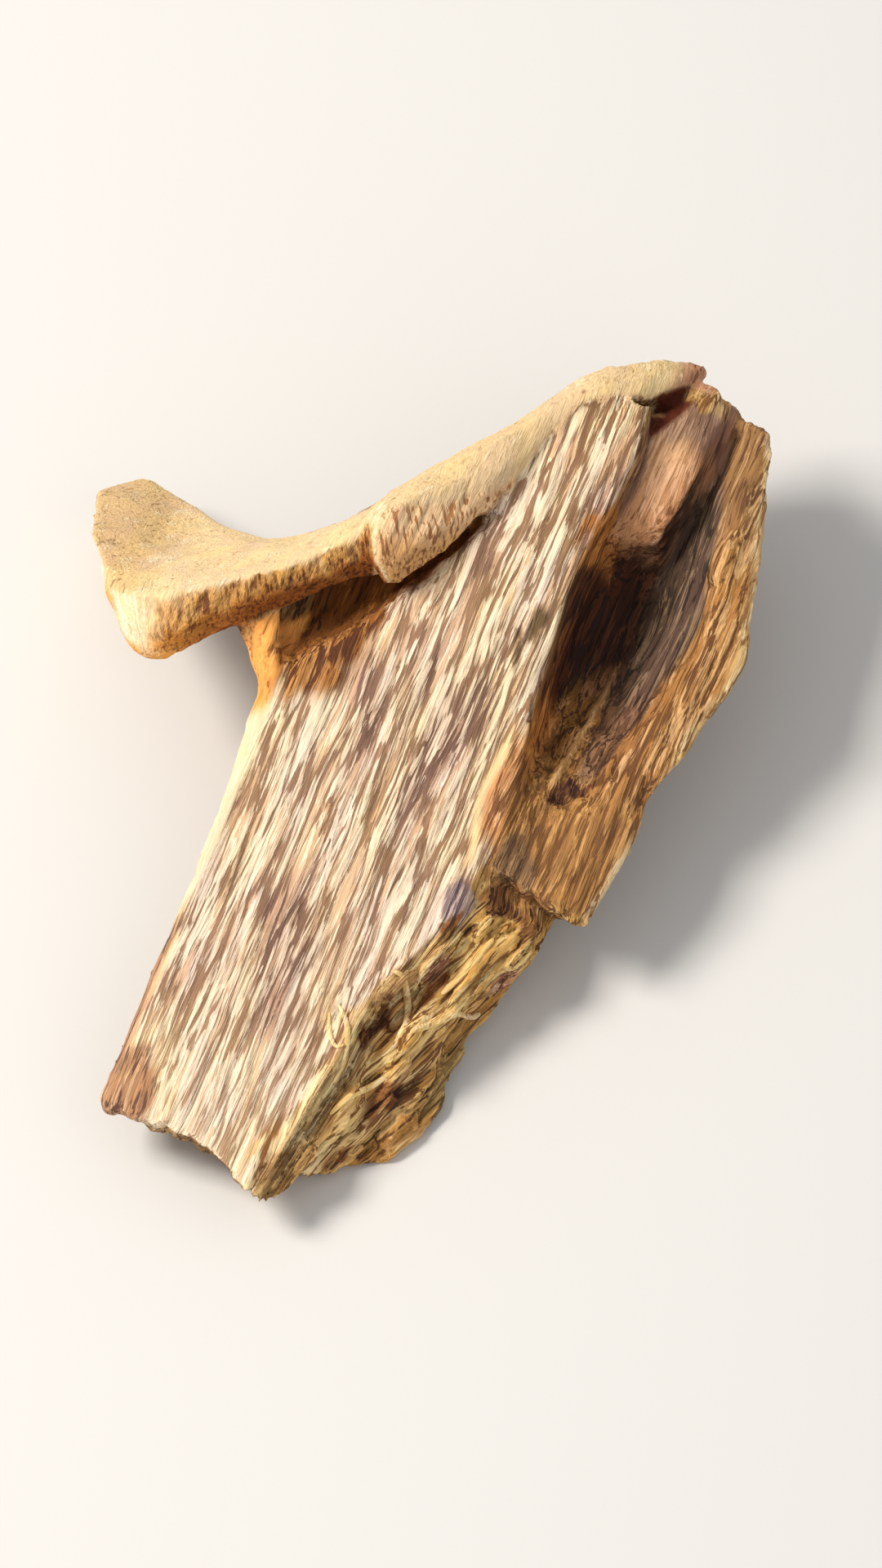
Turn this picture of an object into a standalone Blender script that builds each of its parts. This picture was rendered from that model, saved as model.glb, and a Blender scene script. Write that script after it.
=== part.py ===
"""One piece of agarwood, lying as it comes to rest on a flat surface.

The piece is a broken slab of wood. Along its right side runs a wing with a deep trough in it. Across its top
end lies a pale strap of outer wood, and the strap reaches out to the left as a hook with a flared foot.

Every shape is drawn in the wood's own frame, in millimetres: u across the grain to the right, v along the
grain from the lower broken end to the top, and w out of the streaked face. The last steps lay the wood on its
feet.
"""

import math

import bmesh
import bpy
import numpy as np
from mathutils import Matrix, Vector, noise

MM = 0.001

# How the wood lies: the face leans towards a viewer who stands VIEW_TURN round from the grain.
VIEW_TURN = math.radians(21)
FACE_LEAN = math.radians(11)
FACE_HEIGHT = 8.8

# How finely the bodies are drawn and melted into one piece.
STATIONS = 70
VOXEL = 0.5
SMOOTHING_ROUNDS = 1
TRIANGLES = 9400
CURVE_STEPS = 12
CUT_SNAP = 1e-4

# Relief of the surface, in millimetres: grooves along the grain, broad lumps, crumbs on the broken flank and
# stepped ledges underneath, where the wood split. On the face the lumps are lower by the share FACE_CALM.
GRAIN = Vector((3.4, 36.0, 3.4))
GRAIN_DEPTH = 0.38
GRAIN_DRIFT = Vector((9.0, 30.0, 9.0))
GRAIN_DRIFT_REACH = 2.5
LUMP = Vector((11.0, 11.0, 11.0))
LUMP_HEIGHT = 0.6
FACE_CALM = 0.7
CRUMB = Vector((4.2, 11.0, 4.2))
CRUMB_HEIGHT = 1.5
LEDGE = Vector((7.0, 34.0, 7.0))
LEDGE_HEIGHT = 0.9
LEDGE_STEPS = 3.5
LEDGE_RISER = 0.3
LEDGE_SINK = 0.7
NOISE_OFFSET = Vector((11.3, 4.7, 2.9))

# The flank's crumbs start within ARRIS_FADE of the arris and end within FLANK_FADE below FLANK_END.
ARRIS_FADE = 1.5
FLANK_FADE = 3.0
FLANK_END = 40.0

# The lower end, the top end and the wing's ends are broken across the grain and end in short splinters. A
# surface counts as an end where its normal has more than END_FACING of its length along the grain.
LOWER_END = 12.0
TOP_END = 96.0
LEFT_SIDE = -9.0
WING_SIDE = 24.0
END_FACING = 0.35
SIDE_FACING = 0.7
UNDER_FACING = (0.1, 0.6)
SPLINTER = Vector((3.0, 1000.0, 3.0))
SPLINTER_REACH = 1.3

# Knots and hollows: the middle, the half sizes and how far it stands out, or goes in where that is negative.
KNOTS = (
    ((24.4, 52.0, -3.0), (2.4, 1.5, 2.2), -0.8),
    ((26.2, 53.2, -3.0), (1.6, 1.2, 2.0), -0.7),
    ((15.9, 24.4, -0.8), (1.9, 4.6, 2.2), 1.1),
    ((15.2, 19.4, -1.8), (1.8, 4.0, 1.8), -1.3),
    ((18.8, 28.2, -2.2), (2.2, 3.4, 2.2), 1.0),
    ((21.9, 29.5, -4.6), (1.8, 9.5, 2.2), 1.3),
    ((20.0, 34.0, -2.6), (1.5, 4.4, 1.6), -1.2),
    ((15.4, 9.0, -3.2), (2.6, 6.0, 2.6), 1.1),
    ((17.4, 14.0, -4.2), (1.8, 4.0, 2.0), -1.3),
    ((21.8, 17.5, -7.2), (2.4, 5.5, 2.6), 1.1),
    ((30.9, 84.0, -2.8), (2.6, 4.6, 2.6), 0.8),
    ((35.8, 62.0, -3.0), (2.4, 5.2, 2.6), 0.8),
    ((33.2, 55.0, -2.4), (1.8, 4.0, 2.0), -0.8),
    ((22.8, 102.4, -4.2), (2.2, 1.8, 2.0), 0.5),
    ((22.0, 35.2, -3.2), (5.0, 3.2, 1.8), 0.9),
    ((17.2, 22.4, -4.6), (1.7, 4.0, 2.0), -1.4),
    ((22.6, 24.6, -7.6), (1.7, 5.4, 2.0), -1.0),
    ((13.2, 3.4, -2.6), (1.8, 4.4, 2.0), 0.9),
    ((22.2, 11.2, -7.6), (3.0, 5.0, 2.4), 1.7),
    ((6.0, 30.0, -11.4), (4.4, 12.0, 4.0), 1.2),
    ((-3.0, 52.0, -11.0), (3.6, 10.0, 4.0), -1.4),
    ((30.0, 66.0, -14.0), (3.4, 9.0, 4.4), -1.4),
)

# The arris where the streaked face ends and the broken side begins.
ARRIS = (
    (10.0, -4.4, -0.2), (11.2, 1.5, -0.1), (12.2, 8.0, 0.0), (13.2, 13.5, 0.0), (13.4, 19.0, 0.0),
    (14.2, 23.0, 0.0), (16.4, 27.0, 0.1), (18.0, 31.5, 0.1), (19.2, 36.0, 0.1), (19.8, 41.5, 0.1),
    (19.4, 47.5, 0.2), (18.8, 54.0, 0.3), (17.9, 61.0, 0.3), (17.2, 69.4, 0.4), (16.6, 76.7, 0.5),
    (17.6, 84.3, 0.5), (18.2, 91.0, 0.5), (17.2, 98.2, 0.2),
)

# The slab: its rails run with the grain, in a ring from the left edge over the face and back underneath.
SLAB = (
    (
        (-9.9, 0.6, -2.2), (-9.8, 20, -2.0), (-10.4, 35, -2.0), (-10.8, 52, -2.2), (-12.8, 58, -3.2),
        (-13.2, 63, -3.6), (-12.2, 70, -3.6),
    ),
    (
        (-8.2, -0.2, -0.2), (-8.1, 20, 0.0), (-8.7, 35, 0.1), (-8.9, 51, 0.1), (-8.8, 54.6, 0.0),
        (-8.4, 57.4, -1.6), (-7.8, 61, -3.4), (-7.4, 74, -4.0),
    ),
    (
        (-4.0, 0.0, 0.1), (-3.6, 20, 0.3), (-4.0, 45, 0.2), (-4.8, 57, 0.3), (-4.6, 60.6, 0.2),
        (-4.0, 63.4, -1.6), (-2.4, 66.6, -2.8), (1.0, 72.0, -3.2), (3.4, 78.0, -3.2), (4.6, 84, -3.0),
    ),
    (
        (1.0, -0.2, 0.1), (2.0, 22, 0.5), (1.8, 45, 0.1), (-0.6, 60, 0.3), (-0.6, 65.6, 0.3),
        (1.4, 68.4, 0.3), (3.5, 71.6, 0.3), (4.4, 75.0, 0.2), (5.9, 78.0, 0.1), (7.4, 83, 0.0),
        (8.4, 90, 0.0),
    ),
    (
        (6.4, -2.5, 0.0), (8.0, 20, 0.3), (10.5, 45, 0.4), (9.5, 70, 0.5), (9.5, 90, 0.6),
        (11.5, 98.0, 0.4),
    ),
    ARRIS,
    (
        (10.9, -3.8, -1.0), (12.3, 2.0, -1.1), (13.5, 9.0, -1.4), (14.8, 16.0, -1.6), (15.4, 21.5, -1.4),
        (17.8, 28.0, -1.2), (19.8, 34.0, -1.2), (21.2, 41.0, -1.2), (21.4, 47.5, -1.6),
        (20.0, 54.0, -1.6), (18.9, 61.0, -1.5), (18.1, 69.4, -1.3), (17.5, 76.7, -1.1),
        (18.4, 84.3, -1.0), (18.8, 91.0, -0.8), (17.7, 98.4, -0.9),
    ),
    (
        (12.0, -2.9, -2.4), (14.2, 5, -3.4), (15.9, 13.5, -4.0), (17.0, 22, -3.8), (20.6, 31, -3.4),
        (22.6, 37.5, -3.2), (22.0, 43, -4.0), (20.0, 55, -5.5), (18.6, 70, -5.5), (18.2, 85, -4.0),
        (18.0, 98.6, -3.2),
    ),
    (
        (13.2, -0.9, -4.4), (16.3, 8, -4.4), (18.3, 16, -3.3), (20.6, 22.5, -2.7), (24.2, 29, -3.4),
        (27.2, 36.5, -4.5), (25.0, 45, -7.0), (20.6, 55, -8.5), (19.2, 70, -9.0), (18.6, 85, -8.0),
        (17.6, 99.6, -7.0),
    ),
    (
        (14.4, 2.9, -6.8), (19.6, 6.4, -8.6), (23.3, 10.4, -9.2), (24.4, 17, -9.4), (24.6, 25, -9.6),
        (26.4, 32, -9.9), (28.6, 38.8, -9.4), (26.5, 47, -11.0), (21.5, 58, -12.5), (20, 72, -13.5),
        (19.5, 86, -13), (17.5, 99, -10),
    ),
    (
        (13.0, 4.6, -9.4), (20.4, 12, -11.6), (21.8, 28, -13.0), (19.5, 46, -13.6), (14, 75, -14),
        (12, 97, -9),
    ),
    ((3.0, 4.8, -7.4), (3.5, 20, -10.0), (3.5, 45, -11.5), (3.0, 65, -12.0), (1.5, 84, -8.5)),
    ((-7.6, 4.4, -5.8), (-8.2, 20, -7.8), (-8.8, 45, -8.8), (-9.6, 68, -8.6)),
)

# The wing: a curved plate, from the slab over the floor of the trough and up to the rim, then back underneath.
WING = (
    (
        (14.5, 42.5, -0.5), (14.5, 50, -2.6), (14, 60, -8.0), (13, 75, -9.5), (13.2, 81, -7.4),
        (14.0, 85.4, -2.4), (14.6, 92, -1.8), (15.8, 96.4, -4.6), (16.6, 100, -6.2), (18.0, 105.0, -6.0),
    ),
    (
        (20.8, 41.2, -0.4), (21.3, 46.5, -0.9), (21.4, 51.5, -2.2), (20.8, 57, -4.8), (19.8, 64, -8.0),
        (19.0, 72, -9.4), (18.8, 78.4, -8.8), (18.9, 81.4, -7.0), (18.9, 83.6, -2.8), (19.1, 89, -2.0),
        (19.3, 96, -2.2), (21.1, 100.4, -3.0), (22.2, 104.2, -4.4),
    ),
    (
        (23.8, 40.6, -1.1), (24.2, 47.5, -1.6), (24.0, 52.6, -2.9), (23.6, 60, -5.7), (23.6, 69, -9.2),
        (23.4, 77, -10.4), (23.2, 83.0, -9.4), (23.5, 85.8, -4.9), (24.4, 92, -4.0), (25.0, 98, -4.3),
        (25.2, 103.6, -5.4),
    ),
    (
        (25.6, 40.3, -1.2), (25.9, 47.8, -1.7), (26.0, 54.0, -3.2), (25.8, 62, -6.2), (25.6, 70, -9.8),
        (24.8, 78, -11.6), (24.8, 85.8, -10.6), (25.6, 93, -9.2), (26.2, 99, -8.0), (26.0, 103.2, -7.6),
    ),
    (
        (27.2, 39.9, -1.2), (27.4, 49, -1.6), (28.0, 57, -2.9), (28.6, 66, -5.0), (28.8, 76, -6.4),
        (28.0, 88, -6.2), (27.6, 96, -6.0), (27.2, 102.4, -6.8),
    ),
    (
        (29.8, 39.4, -1.4), (30.0, 50, -1.3), (31.4, 62, -1.6), (32.8, 72, -1.8), (32.6, 79, -1.9),
        (30.8, 90, -2.2), (29.2, 101.2, -3.6),
    ),
    (
        (32.4, 39.2, -3.0), (34.2, 48.0, -2.8), (34.8, 57.0, -2.6), (35.6, 64.5, -2.6),
        (37.6, 71.0, -2.8), (36.9, 79.5, -3.0), (34.6, 88, -3.2), (32.4, 97.3, -3.6), (30.8, 101.6, -4.8),
    ),
    ((31.0, 40.6, -7.0), (32.8, 55, -8.6), (35.4, 71, -9.4), (33.2, 86, -10.0), (28.6, 101, -9.6)),
    (
        (26.4, 42, -9.6), (26.4, 55, -13.5), (27.0, 70, -19.0), (26.4, 82, -23.4), (25.0, 92, -22.6),
        (23.4, 100.6, -15.5),
    ),
    ((16, 44, -11.6), (14, 60, -14.5), (12.5, 78, -16.5), (13, 92, -14.5), (16, 102, -11.5)),
)

# The hook: its rails run from the flared foot at the left to where it passes under the strap.
HOOK = (
    (
        (-29.6, 55.9, 2.0), (-26.0, 55.4, 3.8), (-22.0, 57.2, 4.9), (-16.9, 60.7, 5.2),
        (-11.8, 64.6, 5.0), (-6.4, 70.4, 4.4), (0.0, 78.0, 1.6),
    ),
    (
        (-35.6, 63.6, -4.4), (-30.8, 65.4, -5.4), (-25.2, 64.2, -3.4), (-19.6, 64.6, -0.6),
        (-13.6, 67.4, 1.4), (-7.6, 73.4, 1.8), (0.0, 81.0, 0.6),
    ),
    (
        (-38.3, 72.2, -14.0), (-34.6, 77.2, -18.0), (-30.2, 75.6, -15.6), (-23.4, 72.2, -10.6),
        (-16.8, 70.8, -6.6), (-11.6, 72.8, -4.6), (-6.4, 78.0, -4.0), (0.0, 84.0, -4.6),
    ),
    (
        (-37.6, 73.0, -23.8), (-32.4, 76.0, -26.8), (-26.0, 71.4, -19.2), (-18.4, 67.6, -11.8),
        (-11.0, 69.0, -9.4), (0.0, 78.0, -9.5),
    ),
    (
        (-35.0, 66.0, -14.6), (-28.8, 62.4, -12.0), (-21.6, 60.6, -6.0), (-12.0, 63.8, -2.4),
        (-6.0, 69.0, -1.8), (0.0, 75.0, -3.0),
    ),
    (
        (-30.8, 57.0, -2.2), (-26.6, 52.4, -1.6), (-23.2, 50.4, -0.2), (-19.2, 53.2, 0.2),
        (-15.4, 57.2, 0.4), (-10.9, 61.2, 0.6), (-5.6, 65.6, 1.0), (0.0, 70.0, 0.4),
    ),
    (
        (-30.3, 55.9, 0.2), (-26.0, 53.1, 1.6), (-22.4, 52.5, 3.0), (-18.2, 55.6, 3.4),
        (-13.8, 59.4, 3.6), (-9.8, 63.2, 3.6), (-5.4, 67.4, 3.2), (0.0, 73.0, 1.2),
    ),
)

# The strap: it starts with a rounded knuckle on the hook's end and sinks into the face towards the apex.
STRAP = (
    (
        (-5.0, 70.2, 5.2), (-4.1, 72.4, 6.6), (-2.0, 75.9, 6.5), (2.0, 80.3, 4.8), (6.0, 84.6, 2.5),
        (8.0, 89.6, 1.5), (10.0, 94.8, 1.3), (13.6, 98.2, 0.7), (17.4, 101.4, -1.4), (20.4, 104.0, -3.6),
    ),
    (
        (-6.0, 71.9, 4.8), (-5.7, 73.8, 4.8), (-3.6, 78.2, 4.0), (1.0, 84.0, 3.2), (5.8, 90.2, 2.0),
        (10.0, 97.4, 0.6), (13.8, 101.8, -0.8), (17.8, 104.4, -2.4), (21.2, 105.6, -4.2),
    ),
    (
        (-6.7, 73.8, 0.6), (-7.2, 76.4, -2.4), (-5.0, 80.0, -2.6), (-1.0, 84.8, -2.2), (5.0, 93.4, -1.6),
        (9.2, 99.8, -1.8), (13.6, 103.2, -2.8), (18.4, 105.6, -4.2), (21.8, 106.4, -5.4),
    ),
    (
        (-5.6, 74.6, -3.0), (-3.0, 78.0, -7.0), (4.6, 89.0, -8.5), (11.4, 98.4, -9.0),
        (17.6, 103.0, -8.6), (21.2, 105.4, -8.0),
    ),
    (
        (-3.4, 70.8, 1.2), (0.2, 72.8, -0.8), (5.0, 81.6, -2.0), (10.8, 92.6, -3.6), (16.6, 99.6, -4.0),
        (20.2, 103.6, -5.2),
    ),
    (
        (-3.5, 68.0, 2.6), (-1.9, 66.4, 2.0), (0.0, 67.6, 1.8), (3.0, 73.2, 1.6), (4.6, 77.6, 1.3),
        (5.8, 79.6, 1.0), (7.6, 84.8, 0.6), (8.6, 90.2, 0.5), (10.8, 95.8, 0.3), (14.4, 97.8, -0.2),
        (17.0, 99.2, -2.0), (20.0, 103.2, -4.2),
    ),
    (
        (-4.4, 68.6, 4.4), (-2.7, 68.2, 5.3), (-0.4, 70.4, 5.3), (2.6, 75.4, 4.3), (5.0, 79.8, 2.6),
        (7.0, 84.2, 1.5), (8.5, 90.4, 1.0), (10.6, 95.4, 0.8), (14.2, 97.8, 0.3), (17.4, 99.8, -1.6),
        (20.3, 103.6, -3.8),
    ),
)

# The stub of wood that props the hook at the slab's left edge.
STUB = (
    ((-18.2, 61.6, -1.5), (-15.0, 57.4, -1.4), (-11.7, 53.2, -1.6), (-9.6, 49.6, -3.0)),
    ((-14.6, 62.2, 1.2), (-13.0, 58.4, 0.8), (-10.5, 54.4, 0.2), (-8.8, 50.2, -1.2)),
    ((-12.0, 62.4, -0.6), (-10.8, 58.8, -0.6), (-8.6, 55.0, -0.9), (-7.4, 50.0, -2.6)),
    ((-14.6, 62.6, -7.0), (-13.4, 58.6, -7.4), (-10.8, 54.0, -7.0), (-9.4, 49.6, -6.4)),
)


def smooth_line(points, count):
    """A number of points evenly spaced on the Catmull-Rom curve through the given ones."""
    given = np.array(points, float)
    ends = np.vstack([2 * given[0] - given[1], given, 2 * given[-1] - given[-2]])
    fine = []
    for before, start, stop, after in zip(ends, ends[1:], ends[2:], ends[3:]):
        for t in np.linspace(0, 1, CURVE_STEPS, endpoint=False):
            linear = 2 * start + (stop - before) * t
            square = (2 * before - 5 * start + 4 * stop - after) * t**2
            cube = (3 * start - before - 3 * stop + after) * t**3
            fine.append((linear + square + cube) / 2)
    fine = np.array([*fine, given[-1]])
    reach = np.concatenate([[0], np.cumsum(np.linalg.norm(np.diff(fine, axis=0), axis=1))])
    wanted = np.linspace(0, reach[-1], count)
    return np.stack([np.interp(wanted, reach, fine[:, axis]) for axis in range(3)], axis=1)


def skin(bm, rails):
    """Adds one closed body whose surface passes through a ring of rails, with a cap at each end."""
    lines = [smooth_line(points, STATIONS) for points in rails]
    rings = [[bm.verts.new(line[station]) for line in lines] for station in range(STATIONS)]
    count = len(lines)
    faces = []
    for ring, after in zip(rings, rings[1:]):
        for i in range(count):
            j = (i + 1) % count
            faces.append(bm.faces.new((ring[i], ring[j], after[j], after[i])))
    for ring in (rings[0], rings[-1]):
        centre = bm.verts.new(sum((v.co for v in ring), Vector()) / count)
        for i in range(count):
            faces.append(bm.faces.new((ring[i], ring[(i + 1) % count], centre)))
    bmesh.ops.recalc_face_normals(bm, faces=faces)


def object_of(name, bm):
    mesh = bpy.data.meshes.new(name)
    bm.to_mesh(mesh)
    bm.free()
    obj = bpy.data.objects.new(name, mesh)
    bpy.context.scene.collection.objects.link(obj)
    return obj


def evaluated_bmesh(obj):
    """The object's mesh with its modifiers applied, and the object taken out of the scene."""
    graph = bpy.context.evaluated_depsgraph_get()
    bm = bmesh.new()
    bm.from_object(obj, graph)
    bpy.data.objects.remove(obj)
    return bm


def melted_bodies():
    """The slab, wing, hook, strap and stub melted into one closed surface."""
    bm = bmesh.new()
    for rails in (SLAB, WING, HOOK, STRAP, STUB):
        skin(bm, rails)
    bodies = object_of("bodies", bm)
    remesh = bodies.modifiers.new("melt", "REMESH")
    remesh.mode = "VOXEL"
    remesh.voxel_size = VOXEL
    remesh.adaptivity = 0
    soften = bodies.modifiers.new("soften", "SMOOTH")
    soften.factor = 0.5
    soften.iterations = SMOOTHING_ROUNDS
    return evaluated_bmesh(bodies)


def scaled(co, size):
    """The place in a pattern whose cells have the given size."""
    return Vector((co.x / size.x, co.y / size.y, co.z / size.z))


def eased(value, low, high):
    """From 0 at low to 1 at high, held there on both sides."""
    return max(0.0, min(1.0, (value - low) / (high - low)))


def grooves(co):
    """From -1 in narrow grooves to 1 on the broad backs between them, both along the grain."""
    drift = noise.noise(scaled(co, GRAIN_DRIFT) + NOISE_OFFSET) * GRAIN_DRIFT_REACH
    return 2 * abs(noise.noise(scaled(co + Vector((drift, 0, 0)), GRAIN))) ** 0.6 - 1


def ledges(co):
    """Flat steps with steep risers between them, as wood has where it split along the grain."""
    level = noise.noise(scaled(co, LEDGE) + NOISE_OFFSET) * LEDGE_STEPS
    step = math.floor(level)
    return step + eased(level - step, 0.5 - LEDGE_RISER / 2, 0.5 + LEDGE_RISER / 2) - LEDGE_SINK


def flank_share(co):
    """One on the broken flank to the right of the face, nought on the face and the wing."""
    arris = np.array(ARRIS)
    beyond = co.x - np.interp(co.y, arris[:, 1], arris[:, 0])
    return eased(beyond, 0.0, ARRIS_FADE) * eased(FLANK_END - co.y, 0.0, FLANK_FADE)


def knots(co):
    """How far the knots stand out and the hollows go in."""
    out = 0.0
    for middle, size, height in KNOTS:
        distance = scaled(co - Vector(middle), Vector(size)).length
        out += height * max(0.0, 1 - distance**2) ** 2
    return out


def relief(co, normal):
    """How far a point of the surface stands out, and how far a broken end runs on along the grain."""
    side = 1 - eased(abs(normal.y), 0.0, SIDE_FACING)
    under = eased(-normal.z, *UNDER_FACING)
    lump = noise.fractal(scaled(co, LUMP) + NOISE_OFFSET, 0.9, 2.1, 3)
    crumb = noise.fractal(scaled(co, CRUMB), 0.8, 2.2, 3)
    out = GRAIN_DEPTH * side * grooves(co) + LEDGE_HEIGHT * under * side * ledges(co)
    out += LUMP_HEIGHT * lump * (1 - FACE_CALM * side * max(0.0, normal.z))
    out += CRUMB_HEIGHT * crumb * flank_share(co) + knots(co)
    at_end = co.x > LEFT_SIDE and (co.y < LOWER_END or co.y > TOP_END or co.x > WING_SIDE)
    splinter = SPLINTER_REACH * noise.noise(scaled(co, SPLINTER) + NOISE_OFFSET)
    return out, math.copysign(splinter * eased(abs(normal.y), END_FACING, 1.0) * at_end, normal.y)


def roughen(bm):
    """Moves the surface in and out by its relief, and draws the broken ends out into splinters."""
    bm.normal_update()
    moves = [relief(vert.co, vert.normal) for vert in bm.verts]
    for vert, (out, along) in zip(list(bm.verts), moves):
        vert.co += vert.normal * out
        vert.co.y += along


def laid_down(bm):
    """Tilts the wood so that its face leans towards the viewer, and stands it at its height."""
    axis = Vector((math.cos(VIEW_TURN), math.sin(VIEW_TURN), 0))
    place = Matrix.Translation((0, 0, FACE_HEIGHT)) @ Matrix.Rotation(FACE_LEAN, 4, axis)
    bmesh.ops.transform(bm, matrix=place, verts=bm.verts)


def thinned(bm):
    """The surface with as many triangles as the piece needs, the fewest where it is flattest."""
    bmesh.ops.triangulate(bm, faces=bm.faces)
    full = len(bm.faces)
    obj = object_of("thinned", bm)
    decimate = obj.modifiers.new("fewer", "DECIMATE")
    decimate.ratio = TRIANGLES / full
    return evaluated_bmesh(obj)


def cut_feet(bm):
    """Cuts the wood off at the surface that it lies on, so that each foot ends in a small flat."""
    geometry = [*bm.verts, *bm.edges, *bm.faces]
    bmesh.ops.bisect_plane(
        bm, geom=geometry, dist=CUT_SNAP, plane_co=(0, 0, 0), plane_no=(0, 0, -1), clear_outer=True
    )
    rims = [edge for edge in bm.edges if edge.is_boundary]
    bmesh.ops.holes_fill(bm, edges=rims)
    bmesh.ops.triangulate(bm, faces=bm.faces)


def centred(bm):
    """Puts the origin under the middle of the piece."""
    points = np.array([vert.co for vert in bm.verts])
    middle = (points.min(axis=0) + points.max(axis=0)) / 2
    bmesh.ops.translate(bm, vec=(-middle[0], -middle[1], 0), verts=bm.verts)


def wood_material():
    material = bpy.data.materials.new("agarwood")
    material.use_nodes = True
    shader = material.node_tree.nodes["Principled BSDF"]
    shader.inputs["Base Color"].default_value = (0.36, 0.22, 0.12, 1)
    shader.inputs["Roughness"].default_value = 0.8
    shader.inputs["Metallic"].default_value = 0
    return material


def main():
    for obj in list(bpy.data.objects):
        bpy.data.objects.remove(obj)
    bm = melted_bodies()
    roughen(bm)
    laid_down(bm)
    bm = thinned(bm)
    cut_feet(bm)
    centred(bm)
    bmesh.ops.scale(bm, vec=(MM, MM, MM), verts=bm.verts)
    wood = object_of("agarwood_piece", bm)
    wood.data.materials.append(wood_material())
    wood.data.shade_smooth()
    wood.data.set_sharp_from_angle(angle=math.radians(40))


main()
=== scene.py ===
import math

import bpy
import numpy as np
from mathutils import Matrix, Vector


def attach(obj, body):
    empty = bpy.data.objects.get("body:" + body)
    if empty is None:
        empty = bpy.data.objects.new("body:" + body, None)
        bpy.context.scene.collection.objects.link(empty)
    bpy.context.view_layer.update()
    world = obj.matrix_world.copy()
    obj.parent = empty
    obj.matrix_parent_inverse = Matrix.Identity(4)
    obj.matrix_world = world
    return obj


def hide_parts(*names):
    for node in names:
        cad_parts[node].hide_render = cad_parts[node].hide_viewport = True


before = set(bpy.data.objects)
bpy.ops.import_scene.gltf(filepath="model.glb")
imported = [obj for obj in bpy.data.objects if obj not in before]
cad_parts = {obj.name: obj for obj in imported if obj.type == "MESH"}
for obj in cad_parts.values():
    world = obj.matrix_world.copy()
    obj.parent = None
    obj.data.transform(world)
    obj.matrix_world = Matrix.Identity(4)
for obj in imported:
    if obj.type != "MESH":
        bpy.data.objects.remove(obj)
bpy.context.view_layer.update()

MM = 0.001

# The wood's own frame, in millimetres: u across the grain, v along it and w out of the streaked face.
VIEW_TURN = math.radians(21)
FACE_LEAN = math.radians(11)
WOOD_ORIGIN = (0.227, -51.119, 8.8)

# The fine surface: how finely it is drawn, how many triangles it keeps, and between which heights above the
# floor its relief grows to the whole.
VOXEL = 0.32 * MM
MOST_TRIANGLES = 192000
FOOT_CALM = (0.1, 1.2)

# How many times neighbours are averaged: to smooth the solid's facets, to calm the normals for the relief
# and for the finishes, and to find the level that hollows and crests are measured from.
FACET_ROUNDS = 6
RELIEF_ROUNDS = 4
PAINT_ROUNDS = 6
LEVEL_ROUNDS = 14
HOLLOW_STRENGTH = 1.2

# How soon the noise repeats, and the seed of its slopes.
NOISE_PERIOD = 32
NOISE_SEED = 5

# Lines on the piece, in the wood's frame. As (v, u): the face's right arris, the wing's outer crest, the
# upper edge of the trough's right slope, the strap's blunt nose and the gap beside its tip. As (u, v): the
# strap's lower edge and the rim above it.
ARRIS_LINE = (
    (-4.4, 10.0), (1.5, 11.2), (8.0, 12.2), (13.5, 13.2), (19.0, 13.4), (23.0, 14.2), (27.0, 16.4),
    (31.5, 18.0), (36.0, 19.2), (41.5, 19.8), (47.5, 19.4), (54.0, 18.8), (61.0, 17.9), (69.4, 17.2),
    (76.7, 16.6), (84.3, 17.6), (91.0, 18.2), (98.2, 17.2),
)
CREST_LINE = (
    (39.2, 32.4), (48.0, 34.2), (57.0, 34.8), (64.5, 35.6), (71.0, 37.6), (79.5, 36.9), (88.0, 34.6),
    (97.3, 32.4), (101.6, 30.8),
)
SLOPE_LINE = (
    (50.0, 26.4), (52.0, 26.4), (58.0, 27.4), (70.0, 30.0), (78.0, 31.2), (88.0, 29.2), (94.0, 27.6),
    (100.0, 26.4),
)
STRAP_LINE = (
    (-30.8, 57.0), (-26.6, 52.4), (-23.2, 50.4), (-19.2, 53.2), (-15.4, 57.2), (-10.9, 61.2), (-5.6, 65.6),
    (-1.9, 66.4), (0.0, 67.6), (3.0, 73.2), (4.6, 77.6), (5.8, 79.6), (7.6, 84.8), (8.5, 90.2),
    (10.7, 95.8), (14.4, 97.8), (17.0, 99.2), (20.0, 103.2),
)
STRAP_RIM = ((-4.5, 73.6), (-1.5, 75.5), (1.5, 77.2), (2.9, 79.3), (5.3, 81.6), (7.4, 84.9))
NOSE_LINE = ((67.0, -1.4), (68.0, -3.4), (70.4, -4.7), (73.4, -5.2), (77.0, -6.4), (80.0, -7.0))
GAP_LINE = ((93.0, 17.8), (96.0, 19.1), (100.4, 20.9), (104.0, 22.0))

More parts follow.
